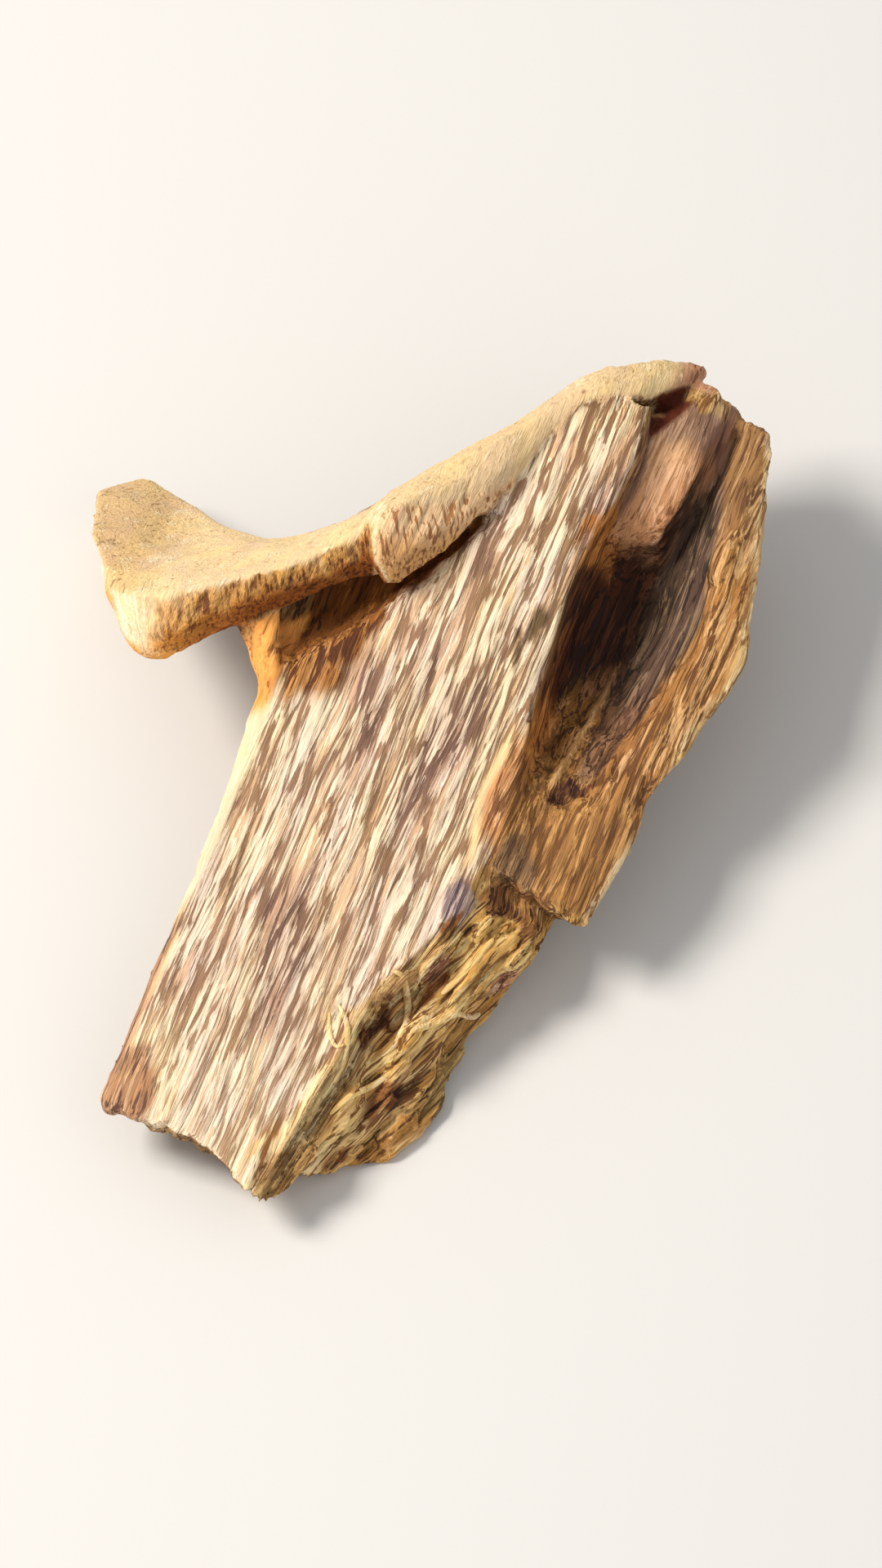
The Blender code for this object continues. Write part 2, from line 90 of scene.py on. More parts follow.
# Each finish: its light, middle and dark wood, then how readily it shows pale flecks and dark lines, which
# is about 1 on the streaked face, and how many dark specks it has.
FINISHES = {
    "underside": ("#C9A06C", "#94703F", "#543822", 0.85, 0.95, 0.1),
    "left side": ("#D8B480", "#A87C4C", "#5E4028", 0.9, 0.95, 0.1),
    "face": ("#FEEED2", "#E8C49E", "#A27E60", 1.09, 0.98, 0.0),
    "face right": ("#FEEED0", "#EAC498", "#A07C5C", 1.15, 0.98, 0.0),
    "face top": ("#FCEBC8", "#E4BC94", "#9A7454", 1.09, 1.0, 0.0),
    "face shade": ("#F2DABC", "#C29C80", "#7C5C4C", 0.98, 1.04, 0.0),
    "face foot": ("#FBEDD0", "#F0D2AC", "#BE9A78", 1.08, 0.94, 0.0),
    "face edge": ("#CC9454", "#9C622A", "#603412", 0.95, 1.0, 0.0),
    "edge band": ("#F8EBCC", "#F2E2BC", "#D2B184", 0.8, 0.6, 0.0),
    "edge low": ("#E4BC90", "#B98A66", "#6A483A", 0.85, 0.9, 0.0),
    "arris skin": ("#F6CA92", "#D89A62", "#8C5A32", 0.9, 0.94, 0.1),
    "arris smudge": ("#B4966A", "#7A6240", "#4E3C24", 0.78, 1.06, 0.4),
    "wall": ("#845024", "#562C12", "#2C140A", 0.8, 0.95, 0.0),
    "orange skin": ("#E8A45A", "#BE7C38", "#70421A", 0.85, 0.85, 0.0),
    # A painted highlight along the face's edge by the arris.
    "arris highlight": ("#FBF0CE", "#F4DCA8", "#C89A5E", 0.6, 0.5, 0.0),
    "fibre": ("#FFE8B6", "#F4D08A", "#B98A4A", 0.95, 0.75, 0.0),
    "flank": ("#FADA98", "#DCAA5C", "#7C5024", 0.96, 0.96, 0.2),
    # Painted light: paler than the flank, so that its band by the arris looks lit though turned from the
    # key.
    "flank edge": ("#FFEEB8", "#FFD690", "#B87E46", 1.02, 0.88, 0.1),
    "flank foot": ("#EEC070", "#C08A44", "#664020", 0.95, 0.92, 0.1),
    "olive edge": ("#CFAE6C", "#A08048", "#5E4424", 0.9, 0.88, 0.1),
    "golden ridge": ("#FFE6A8", "#F0C274", "#A07038", 1.0, 0.88, 0.1),
    "knot": ("#EED09C", "#D3A870", "#8A5C34", 0.8, 0.8, 0.1),
    "ledge": ("#C08C54", "#94663A", "#4C2C18", 0.92, 1.0, 0.1),
    "pink lump": ("#EEC8A0", "#CE9C74", "#7E4C34", 0.9, 0.95, 0.2),
    "tan lump": ("#EFCC90", "#CC9E60", "#855A2C", 0.95, 0.95, 0.1),
    "hollow": ("#AA7440", "#7A4822", "#3E200E", 0.85, 0.9, 0.1),
    "blue patch": ("#D4BCAE", "#A48E8A", "#625052", 0.95, 1.04, 0.1),
    "low wing": ("#DAA868", "#B6844A", "#7E5428", 0.88, 0.98, 0.0),
    "wing smudge": ("#B08C62", "#8C6A46", "#5A4028", 0.88, 0.98, 0.0),
    "rim": ("#E2B47E", "#B88248", "#744A22", 0.92, 0.94, 0.2),
    "rim top": ("#CCA674", "#9C7446", "#6A4428", 0.85, 0.9, 0.1),
    "crest": ("#FBECC4", "#EACB92", "#A87844", 0.9, 0.9, 0.1),
    "trough": ("#5E3622", "#381C0E", "#1E0E08", 0.8, 0.9, 0.0),
    "trough foot": ("#C08C58", "#966832", "#56361A", 0.85, 0.95, 0.0),
    "trough ridge": ("#C8A274", "#A27E54", "#6A4C30", 0.9, 0.5, 0.0),
    "trough slope": ("#947A60", "#60493A", "#382A1E", 0.92, 0.95, 0.0),
    "slope foot": ("#967050", "#6C4A30", "#442C1A", 0.9, 0.95, 0.0),
    "slope top": ("#C8A68A", "#A08066", "#5E4636", 0.9, 0.95, 0.0),
    # Painted shade in the crease between the lit floor and the slope, and beside the arris.
    "crevice_shade": ("#8E7462", "#6A5446", "#3A2A20", 0.6, 0.8, 0.0),
    # Painted shadow in the gap beside the strap's tip.
    "gap_shadow": ("#72320C", "#5C2206", "#381004", 0.6, 0.6, 0.0),
    "lit floor": ("#EEBE92", "#D49C6A", "#9A683E", 0.9, 0.74, 0.3),
    "floor end": ("#BE9880", "#94725C", "#604436", 0.8, 0.8, 0.1),
    "pit": ("#A06A3E", "#6E3E22", "#30140A", 0.85, 1.02, 0.8),
    # Orange-brown wood, darkened as painted shade under the hook and the strap.
    "recess": ("#B47632", "#84501C", "#4A280E", 0.75, 0.78, 0.0),
    # Painted light: paler than the stub's orange wood, so that it looks lit in the hook's shadow.
    "stub": ("#FFCC80", "#FFB45C", "#C07A34", 0.8, 0.75, 0.0),
    "strap top": ("#F8E4BC", "#EED2A0", "#C49A64", 0.72, 0.6, 0.35),
    "strap front": ("#F4DCB0", "#FAD6A2", "#AC7440", 0.9, 0.98, 0.1),
    "strap foot": ("#E9BC82", "#E2B070", "#8A5A30", 0.9, 1.04, 0.1),
    # The nose's pale rim; along the hook's upper edge the same finish is a painted highlight.
    "nose rim": ("#FDEFC8", "#F6DFAA", "#CFA264", 0.7, 0.6, 0.1),
    "strap tip": ("#E8BC98", "#C4906E", "#84583E", 0.8, 0.8, 0.3),
    "hook top": ("#FBE8C0", "#F4D8A8", "#C09A68", 0.7, 0.6, 0.15),
    "hook left": ("#F4DCAA", "#E6C48E", "#B08A58", 0.8, 0.7, 0.15),
    "hook edge": ("#F8B45C", "#DC943A", "#8A4A14", 0.95, 0.98, 0.1),
    "hook dashes": ("#F2CC88", "#E0AC60", "#6E3A12", 0.8, 1.04, 0.6),
    "hook brown": ("#C8803A", "#A05A18", "#52280A", 0.85, 0.95, 0.4),
    "hook end": ("#FFFBE6", "#FFF6D6", "#F6DC9C", 0.8, 0.5, 0.1),
}

# The finishes that are smooth or crumbly, under how much they are so, those with short fibres on them, and
# those of the hook's edge.
SMOOTH = {
    1.0: ("strap top", "hook top", "hook left", "hook end", "strap tip"),
    0.7: ("lit floor", "floor end"),
    0.5: ("hook edge",),
}
CRUMBLY = {
    1.0: ("flank", "flank edge", "flank foot", "pink lump", "hollow", "olive edge", "golden ridge"),
    0.5: ("knot", "tan lump", "rim", "crest", "pit"),
    0.25: ("low wing", "recess", "rim top", "left side"),
}
FIBROUS = ("strap front", "hook dashes", "hook brown", "hook edge")
HOOK_EDGES = ("hook edge", "hook dashes", "hook brown", "hook end")

# The fine relief: the size of each kind across, along and through the grain, and its height or depth.
# Layers of noise are each a size, a reach and a shift.
WIDE_GROOVE = (3.0, 42.0, 3.0)
NARROW_GROOVE = (1.3, 14.0, 1.3)
GROOVE_HEIGHT = 0.75
GROOVE_SINK = 0.32
SMOOTHED_BY = 0.8
CRUMB = (2.0, 13.0, 2.0)
CRUMB_HEIGHT = 1.1
CRUMB_SINK = 0.45
FINE_CRUMB = (1.4, 5.0, 1.4)
FINE_CRUMB_HEIGHT = 0.24
GRIT = (1.0, 2.4, 1.0)
GRIT_HEIGHT = 0.05
ROWS = (0.7, 3.0, 3.0)
ROW_HEIGHT = 0.14
TUFTS = (1.6, 2.4, 1.6)
TUFT_HEIGHT = 0.12
RIDGE_HEIGHT = 0.35
GRAIN_DRIFT = (((8.0, 30.0, 8.0), 1.3, 0.0), ((3.0, 12.0, 3.0), 0.35, 2.2))
SPLINTERS = (((1.6, 40.0, 1.6), 0.25, 2.2), ((0.6, 40.0, 0.6), 0.2, 5.2))

# The ragged edges of the zones, and the patches of darker wood on the face.
STRAY = (((2.5, 6.0, 2.5), 0.8, 0.0), ((1.1, 3.0, 1.1), 0.5, 3.1))
FACE_SHADE = (6.0, 15.0, 6.0)

# Patches of one finish: the middle and the half sizes, in the wood's frame. Noise of the size PATCH_NOISE
# bends their outlines by about PATCH_STRAY. They fade out over PATCH_RIM, in shares of their half sizes.
# Those on the flank lean with its grain, which runs off to the right by FLANK_LEAN of its way up.
PATCH_NOISE = (1.6, 4.0, 1.6)
PATCH_STRAY = (1.2, 2.4, 1.2)
PATCH_RIM = (0.08, 0.4)
FLANK_LEAN = 0.4
PATCHES = (
    ("face foot", (-6.0, 1.0, 0.0), (7.0, 7.5, 2.5)),
    ("face edge", (-6.5, 56.0, 0.0), (5.2, 6.5, 2.4)),
    ("face edge", (-3.0, 62.0, 0.0), (3.2, 5.6, 2.0)),
    ("arris smudge", (15.0, 67.9, 0.0), (1.6, 4.0, 2.0)),
    ("tan lump", (22.8, 102.6, -4.4), (3.2, 2.6, 2.6)),
    ("blue patch", (18.5, 35.4, 0.0), (2.4, 2.9, 2.2)),
    ("wing smudge", (22.9, 42.4, -1.0), (3.2, 4.4, 2.6)),
    ("pit", (24.0, 51.8, -3.0), (1.6, 1.2, 2.4)),
    ("pit", (26.0, 53.6, -3.4), (2.4, 1.3, 2.6)),
    ("edge low", (-7.0, 1.6, 0.0), (4.5, 7.0, 2.5)),
    ("orange skin", (17.4, 82.0, -1.2), (1.6, 5.6, 3.4)),
)
FLANK_PATCHES = (
    ("olive edge", (24.2, 20.0, -9.0), (3.0, 11.0, 3.0)),
    ("golden ridge", (24.8, 33.4, -4.6), (1.8, 4.2, 3.0)),
    ("golden ridge", (24.4, 29.8, -4.6), (1.6, 3.2, 2.6)),
    ("golden ridge", (22.0, 33.2, -3.4), (1.5, 4.6, 2.8)),
    ("golden ridge", (21.4, 24.2, -4.2), (1.5, 5.6, 2.8)),
    ("golden ridge", (19.0, 19.6, -4.2), (1.2, 4.6, 2.6)),
    ("ledge", (23.0, 38.0, -2.6), (6.5, 2.4, 3.4)),
    ("ledge", (26.4, 37.0, -4.4), (2.4, 2.6, 2.6)),
    ("knot", (16.5, 23.4, -0.4), (1.8, 5.0, 2.8)),
    ("pink lump", (19.0, 28.2, -1.8), (2.0, 3.4, 2.4)),
    ("pink lump", (25.6, 30.8, -6.4), (1.8, 3.4, 2.2)),
    ("tan lump", (15.3, 10.0, -2.6), (2.6, 6.0, 3.2)),
    ("tan lump", (12.0, 0.0, -1.6), (3.0, 5.0, 2.6)),
    ("tan lump", (22.4, 10.2, -8.8), (2.2, 3.2, 2.2)),
    ("hollow", (20.0, 33.0, -2.0), (1.0, 3.4, 1.6)),
    ("hollow", (18.6, 32.4, -0.2), (0.9, 2.2, 1.4)),
    ("hollow", (18.8, 24.6, -2.4), (1.0, 4.0, 1.8)),
    ("hollow", (15.8, 20.4, -2.2), (1.9, 4.2, 3.0)),
    ("hollow", (19.4, 25.6, -3.4), (1.4, 3.2, 2.2)),
    ("hollow", (21.4, 22.4, -6.6), (1.2, 5.0, 2.2)),
    ("hollow", (18.6, 12.6, -5.0), (2.0, 5.2, 2.6)),
    ("hollow", (17.0, 5.0, -5.0), (2.2, 3.0, 2.4)),
)

# Loose fibres that curl over the flank and its edge: places along each, as (u, v), and its greatest width.
FIBRES = (
    (((15.0, 25.4), (16.6, 25.3), (17.6, 23.9), (18.3, 21.6), (18.1, 19.2), (17.0, 17.2)), 0.9),
    (((11.0, 19.8), (12.6, 18.3), (13.5, 16.1), (13.9, 13.7), (13.7, 11.4)), 0.7),
    (((10.4, 18.6), (11.2, 16.4), (12.6, 14.9), (13.4, 15.6)), 0.5),
    (((17.4, 25.2), (18.3, 28.0), (19.2, 30.8), (20.2, 33.0)), 0.9),
    (((19.2, 20.2), (20.9, 22.8), (23.0, 25.3), (24.6, 27.3)), 1.1),
    (((20.6, 26.0), (22.2, 29.6), (23.6, 34.0)), 0.9),
    (((14.4, 8.4), (16.4, 12.6), (18.6, 16.0)), 0.8),
)
FIBRE_LIFT = 0.12
FIBRE_SIDES = 8
FIBRE_FLATNESS = 0.5
FIBRE_TAPER = 0.6
OVER_THE_WOOD = 12.0


def linear(code):
    """A #RRGGBB colour as linear red, green, blue and alpha."""
    shares = [int(code[i : i + 2], 16) / 255 for i in (1, 3, 5)]
    return [c / 12.92 if c <= 0.04045 else ((c + 0.055) / 1.055) ** 2.4 for c in shares] + [1.0]


def wood_placing():
    """The turn and place that lay the wood's frame in the row's frame, as numpy arrays in millimetres."""
    axis = Vector((math.cos(VIEW_TURN), math.sin(VIEW_TURN), 0))
    return np.array(Matrix.Rotation(FACE_LEAN, 3, axis)), np.array(WOOD_ORIGIN)


TURN, PLACE = wood_placing()
GRADIENTS = np.random.default_rng(NOISE_SEED).normal(size=(NOISE_PERIOD, NOISE_PERIOD, NOISE_PERIOD, 3))
GRADIENTS /= np.linalg.norm(GRADIENTS, axis=3, keepdims=True)


def waves(points, size, shift=0.0):
    """Smooth noise of about -1 to 1 at the points, with lumps of the given size along each axis."""
    scaled = points / np.array(size) + shift
    cell = np.floor(scaled).astype(int)
    part = scaled - cell
    ease = part * part * part * (part * (part * 6 - 15) + 10)
    total = np.zeros(len(points))
    for corner in np.ndindex(2, 2, 2):
        share = np.prod(np.where(corner, ease, 1 - ease), axis=1)
        slope = GRADIENTS[tuple(((cell + corner) % NOISE_PERIOD).T)]
        total += share * np.einsum("ij,ij->i", slope, part - corner)
    return total * 1.5


def octaves(points, size, count=3, shift=0.0):
    """Noise in layers, each half as large and half as strong as the one before."""
    return sum(waves(points, np.array(size) / 2**i, shift + 7.3 * i) / 2**i for i in range(count))


def layered(points, layers):
    """Noise in layers, each given as its size, its reach and its shift."""
    return sum(reach * waves(points, size, shift) for size, reach, shift in layers)


def rise(value, low, high):
    """From 0 at low to 1 at high, eased at both ends."""
    t = np.clip((value - low) / (high - low), 0, 1)
    return t * t * (3 - 2 * t)


def fall(value, low, high):
    """From 1 at low to 0 at high, eased at both ends."""
    return rise(-value, -high, -low)


def stripe(distance, width):
    """One along a line, less and less to its sides."""
    return np.exp(-((distance / width) ** 2))


def near(points, middle, size):
    """One at the middle of a patch, nought at its rim and beyond."""
    distance = np.linalg.norm((points - np.array(middle)) / np.array(size), axis=1)
    return np.clip(1 - distance, 0, 1)


def beyond(places_along, places_across, line):
    """How far each point lies past a line drawn as places along it and across it."""
    along, across = np.array(line).T
    return places_across - np.interp(places_along, along, across)


def activate(obj):
    bpy.ops.object.select_all(action="DESELECT")
    obj.select_set(True)
    bpy.context.view_layer.objects.active = obj


def apply_modifier(obj, kind, **settings):
    activate(obj)
    modifier = obj.modifiers.new(kind.lower(), kind)
    for name, value in settings.items():
        setattr(modifier, name, value)
    bpy.ops.object.modifier_apply(modifier=modifier.name)


def merged_copy(node, name):
    """A copy of a CAD node whose loose triangles are merged to one closed surface."""
    obj = bpy.data.objects.new(name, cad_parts[node].data.copy())
    bpy.context.scene.collection.objects.link(obj)
    obj.data.materials.clear()
    activate(obj)
    bpy.ops.object.mode_set(mode="EDIT")
    bpy.ops.mesh.select_all(action="SELECT")
    bpy.ops.mesh.remove_doubles(threshold=1e-6)
    bpy.ops.object.mode_set(mode="OBJECT")
    return obj


def places(obj):
    """The vertices in the wood's frame, in millimetres."""
    flat = np.empty(len(obj.data.vertices) * 3)
    obj.data.vertices.foreach_get("co", flat)
    return (flat.reshape(-1, 3) / MM - PLACE) @ TURN


def set_places(obj, points):
    obj.data.vertices.foreach_set("co", ((points @ TURN.T + PLACE) * MM).ravel())
    obj.data.update()


def facing(obj):
    """The vertices' normals in the wood's frame."""
    flat = np.empty(len(obj.data.vertices) * 3)
    obj.data.vertex_normals.foreach_get("vector", flat)
    return flat.reshape(-1, 3) @ TURN


def spread(obj, values, rounds):
    """The values at the vertices, averaged with their neighbours' a number of times."""
    ends = np.empty(len(obj.data.edges) * 2, np.int32)
    obj.data.edges.foreach_get("vertices", ends)
    a, b = ends.reshape(-1, 2).T
    count = len(values)
    number = np.bincount(a, minlength=count) + np.bincount(b, minlength=count)
    values = values.copy()
    for _ in range(rounds):
        for k in range(values.shape[1]):
            near_sum = np.bincount(a, values[b, k], count) + np.bincount(b, values[a, k], count)
            values[:, k] = (values[:, k] + near_sum / np.maximum(number, 1)) / 2
    return values


def calm_facing(obj, rounds):
    """The normals of the surface without its finest relief."""
    calm = spread(obj, facing(obj), rounds)
    return calm / np.linalg.norm(calm, axis=1, keepdims=True)


# In the functions of zones a bare number is a place or a width along u, v or w in millimetres, a share of a
# normal's length, or how much of a finish shows. Stray is the noise that keeps the zones' edges ragged.
def face_zones(points, normals, stray):
    """The streaked face, its two edges, and the slab's left side."""
    u, v, w = points.T
    nu, _, nw = normals.T
    right = beyond(v, u, ARRIS_LINE)
    above = beyond(u, v, STRAP_LINE)
    face = rise(nw, 0.25, 0.55) * rise(w, -3.2, -1.4) * fall(right - 0.3 * stray, -0.3, 0.3)
    left = fall(u, -9.6, -8.6) * fall(nu, -0.5, -0.1)
    band = fall(u - 0.3 * stray, -8.6, -7.8) * rise(w, -3.6, -2.4)
    band *= fall(above, -1.0, 0.5) * rise(v, 0.0, 2.0)
    skin_width = 0.8 + 1.6 * stripe(v - 48, 6)
    skin = rise(right + skin_width + 0.6 * stray, -0.2, 0.8) * fall(right, 1.6, 3.0) * rise(w, -3.4, -1.6)
    # A painted highlight along the face's edge, just inside the arris.
    bright = stripe(right + skin_width + 0.2, 0.45) * rise(v, 39, 42) * fall(v, 54, 59)
    return [
        ("left side", left),
        ("face", face),
        ("face right", face * rise(u + 2 * stray, 6, 12) * rise(v, 30, 44)),
        ("face top", face * rise(v + 2 * stray, 84, 92)),
        ("face shade", 0.8 * face * rise(waves(points, FACE_SHADE, 8.8), 0.12, 0.5)),
        ("face foot", face * fall(v + 2 * stray, 6, 16)),
        ("edge band", band * rise(v + 2 * stray, 20, 27)),
        ("edge low", band * fall(v + 2 * stray, 20, 27)),
        ("arris skin", skin * rise(v, 42, 45) * fall(v, 54, 60)),
        ("arris highlight", bright * face),
    ]


def flank_zones(points, stray):
    """The broken flank below the wing, darker towards its foot."""
    u, v, w = points.T
    right = beyond(v, u, ARRIS_LINE)
    low = fall(v, 14, 26)
    flank = rise(right + 1.3 * low + (0.9 + 1.3 * low) * stray, -0.4 - 0.6 * low, 0.4 + 0.6 * low)
    flank *= fall(v - stray, 38.5, 41) * rise(w, -12, -9.5)
    return [
        ("flank", flank),
        # Painted light: the band by the arris is paler so that it looks lit though turned from the key.
        ("flank edge", 0.9 * flank * fall(right + 1.5 * stray, 1.6, 4.2) * fall(v, 22, 30)),
        ("flank foot", flank * fall(w - 0.8 * stray, -7.5, -5.0)),
    ]


def wing_part(points, normals, stray):
    """All of the wing's upper side, but not its back end."""
    u, v, w = points.T
    right = beyond(v, u, ARRIS_LINE)
    not_back = np.maximum(fall(normals[:, 1], 0.5, 0.75), fall(v, 96, 99))
    return rise(right, 0.2, 0.9) * rise(v - 0.6 * stray, 39, 40.4) * rise(w, -14, -11) * not_back


def rim_zones(points, normals, stray):
    """The wing's lower part and the rim round its trough."""
    u, v, _ = points.T
    low = wing_part(points, normals, stray) * fall(beyond(v, u, CREST_LINE), -0.2, 0.6)
    low *= rise(normals[:, 2], 0.0, 0.3)
    past_slope = beyond(v, u, SLOPE_LINE) + 0.7 * stray
    rim = low * rise(past_slope, -0.5, 0.5) * rise(v + 2 * stray, 52, 58)
    return [
        ("low wing", low),
        ("rim", rim),
        ("rim top", rim * rise(v + 2 * stray, 82, 92)),
    ]


def trough_zones(points, normals, stray):
    """The trough: its foot, slope and left wall, the lit floor at its top, painted shade in its cracks, its
    low ridge.
    """
    u, v, w = points.T
    nu, nv, nw = normals.T
    right = beyond(v, u, ARRIS_LINE)
    past_slope = beyond(v, u, SLOPE_LINE) + 0.7 * stray
    inside = wing_part(points, normals, stray) * fall(past_slope, -0.5, 0.5)
    deep = inside * rise(v + 1.5 * stray, 54, 59)
    slope = inside * rise(u + 0.5 * stray, 24.0, 25.6) * rise(v + 1.5 * stray, 53, 58)
    wall = inside * rise(nu, 0.1, 0.4) * fall(right, 3, 5) * rise(v, 50, 56)
    high_skin = rise(v + stray, 78.5, 81.5) * fall(v, 85, 89) * fall(right + stray, 1.2, 2.6)
    floor = inside * rise(v + 0.8 * stray - 0.4 * (u - 20), 82.0, 84.5) * rise(nw, 0.25, 0.5)
    floor *= fall(u - 0.12 * (v - 85), 24.5, 25.2)
    floor_end = inside * rise(v + stray, 94, 98) * rise(nw, 0.1, 0.4) * fall(u, 26.0, 27.2)
    # Painted shade: a dark line beside the arris, and one in the crease between the lit floor and the
    # slope.
    seam = stripe(right - 0.9 + 0.15 * stray, 0.5) * rise(v, 83, 86) * fall(v, 96, 99)
    crevice_shade = inside * rise(v, 76, 82) * fall(v, 92, 96)
    crevice_shade *= stripe(u - 25.0 - 0.08 * (v - 86) + 0.3 * stray, 0.6)
    # Painted shadow in the gap beside the strap's tip.
    gap_shadow = np.maximum(fall(nv, 0.5, 0.75), fall(v, 96, 99)) * rise(right, 0.1, 0.5) * rise(v, 92.5, 95.5)
    gap_shadow *= fall(beyond(v, u, GAP_LINE) - 0.3 * stray, -0.3, 0.3)
    ridge = inside * stripe(u - 23.2 - 0.05 * (v - 55) - 0.15 * stray, 0.34)
    return [
        ("trough foot", deep),
        ("trough", deep * rise(v + 2 * stray, 63, 72)),
        ("trough slope", slope),
        ("slope foot", slope * fall(v + 2 * stray, 62, 74)),
        ("slope top", slope * rise(v + 2 * stray, 89, 95)),
        ("wall", wall),
        ("orange skin", wall * np.maximum(fall(v + stray, 60, 66), high_skin)),
        ("lit floor", floor),
        ("floor end", floor_end),
        ("crevice_shade", np.maximum(crevice_shade, 0.8 * seam * inside)),
        ("gap_shadow", gap_shadow * fall(w, -2.0, -1.2)),
        ("trough ridge", 0.9 * ridge * rise(v, 52, 54) * fall(v, 67, 74)),
    ]


def crest_zones(points, normals, stray):
    """The pale crest along the wing's outer edge."""
    u, v, w = points.T
    crest = stripe(beyond(v, u, CREST_LINE) + 0.35 + 0.4 * stray, 0.5)
    crest *= rise(w, -5.4, -4.2) * rise(v, 39, 41)
    return [("crest", 0.85 * crest * wing_part(points, normals, stray))]


def stub_zones(points, normals, stray):
    """The stub under the hook, and the recess beside it."""
    u, v, w = points.T
    # The recess below the face, under the hook and strap, is darkened as painted shade.
    recess = fall(w - 0.3 * stray, -1.2, -0.4) * rise(u, -9.6, -9.0) * rise(v, 52, 54)
    recess *= fall(beyond(v, u, ARRIS_LINE), -6, -3) * rise(normals[:, 2], -0.2, 0.2)
    # The stub is painted paler than its wood, as painted light in the hook's shadow.
    stub = fall(u, -9.4, -8.6) * rise(v + 0.5 * stray, 47.5, 50.5)
    stub *= fall(beyond(u, v, STRAP_LINE), -0.4, 0.6) * rise(w, -8, -6)
    return [
        ("recess", recess),
        ("stub", stub),
    ]


def strap_part(points, stray):
    """The whole strap with its hook."""
    u, v, w = points.T
    above = beyond(u, v, STRAP_LINE)
    out = rise(above + 0.5 * stray, -0.6, 0.2) * np.maximum(rise(w, 0.2, 1.0), fall(u, -13, -12))
    out = np.maximum(out, rise(above, 0, 0.6) * rise(v, 96, 97.5) * rise(w, -7, -5))
    low_left = rise(above, 2, 4) * rise(w, -3.0, -1.6) * fall(beyond(v, u, ARRIS_LINE), -2.0, -0.5)
    return np.maximum(out, low_left)


def facing_up(normals, stray):
    """One on the strap's smooth upper side."""
    _, nv, nw = normals.T
    return rise(nw + 0.25 * np.maximum(nv, 0) - 0.4 * np.maximum(-nv, 0) + 0.1 * stray, 0.0, 0.4)


def strap_zones(points, normals, stray):
    """The strap: its top, its tip, its fibrous front and the pale rim of its blunt nose."""
    u, v, _ = points.T
    out = strap_part(points, stray)
    past_nose = beyond(v, u, NOSE_LINE)
    under_rim = 0.8 * stray - beyond(u, v, STRAP_RIM)
    front = rise(under_rim, -0.6, 0.8) * rise(past_nose, -0.2, 0.2) * fall(u, 7.0, 8.5)
    nose = stripe(past_nose - 0.25, 0.45) * fall(v, 73, 76)
    return [
        ("strap top", out * facing_up(normals, stray)),
        ("strap tip", out * rise(u, 17.5, 20)),
        ("strap front", out * front),
        ("strap foot", out * front * rise(under_rim, 2.5, 6.0)),
        ("nose rim", 0.9 * out * nose),
    ]


def hook_zones(points, normals, stray):
    """The hook: its top, and its edge from the pale end over dashes to brown by the nose."""
    u, v, _ = points.T
    _, nv, nw = normals.T
    out = strap_part(points, stray)
    top = out * facing_up(normals, stray)
    on_hook = fall(beyond(v, u, NOSE_LINE), -0.3, 0.2)
    edge = out * fall(nv - 0.1 * stray, -0.5, -0.15) * rise(nw, -0.75, -0.4) * on_hook
    # A painted highlight along the hook's upper edge, where its top turns into its front.
    rim = on_hook * stripe(nv + 0.1, 0.1) * fall(nw, 0.9, 0.97) * rise(u, -28, -23)
    dashes = on_hook * stripe(nv + 0.34, 0.2) * rise(u, -24, -20)
    return [
        ("hook top", top * on_hook),
        ("hook left", top * fall(u + 1.5 * stray, -30, -24)),
        ("nose rim", 0.7 * out * rim),
        ("hook edge", edge),
        ("hook brown", edge * rise(u + 1.5 * stray, -23, -13)),
        ("hook dashes", 0.8 * out * dashes),
        ("hook end", edge * fall(u + 1.5 * stray, -27.0, -21.5)),
    ]


def patch_zones(points):
    """The patches, with ragged outlines."""
    strays = np.stack([waves(points, PATCH_NOISE, 3.7 * i) for i in (1, 2, 3)], axis=1)
    bent = points + strays * PATCH_STRAY
    zones = [(name, rise(near(bent, middle, size), *PATCH_RIM)) for name, middle, size in PATCHES]
    for name, middle, size in FLANK_PATCHES:
        upright = bent - np.outer(points[:, 1] - middle[1], (FLANK_LEAN, 0, 0))
        zones.append((name, rise(near(upright, middle, size), *PATCH_RIM)))
    return zones


def zone_shares(points, normals):
    """How far each vertex belongs to each finish, in order: later ones are laid over earlier ones."""
    stray = layered(points, STRAY)
    shares = face_zones(points, normals, stray) + flank_zones(points, stray)
    for zones in (rim_zones, trough_zones, crest_zones, stub_zones, strap_zones, hook_zones):
        shares += zones(points, normals, stray)
    return shares + patch_zones(points)


def share_of(shares, *names):
    """The largest share that any of the named finishes has, less what later finishes cover."""
    left = np.ones(len(shares[0][1]))
    total = np.zeros(len(left))
    for name, share in reversed(shares):
        if name in names:
            total += left * share
        left = left * (1 - share)
    return total


def amount_of(shares, amounts):
    """The shares of the finishes under each amount, times that amount, in all."""
    return sum(amount * share_of(shares, *names) for amount, names in amounts.items())


def flank_shift(points):
    """How far the grain lies aside from the wood's own direction: it leans on the flank."""
    u, v, _ = points.T
    return -FLANK_LEAN * (v - 36) * rise(beyond(v, u, ARRIS_LINE), -0.5, 2.6) * fall(v, 37, 40)


def set_upright(points):
    """The points, with the flank's leaning grain set upright."""
    return points + np.outer(flank_shift(points), (1, 0, 0))


def backs_between(points):
    """Nought in the grooves that run along the grain, about one on the backs between them."""
    upright = set_upright(points)
    drift = layered(upright, GRAIN_DRIFT)
    grained = upright + np.stack([drift, 0 * drift, 0.5 * drift], axis=1)
    wide = np.abs(waves(grained, WIDE_GROOVE, 1.7)) ** 0.6
    narrow = np.abs(waves(grained, NARROW_GROOVE, 4.7)) ** 0.7
    return 0.5 * wide + 0.5 * narrow


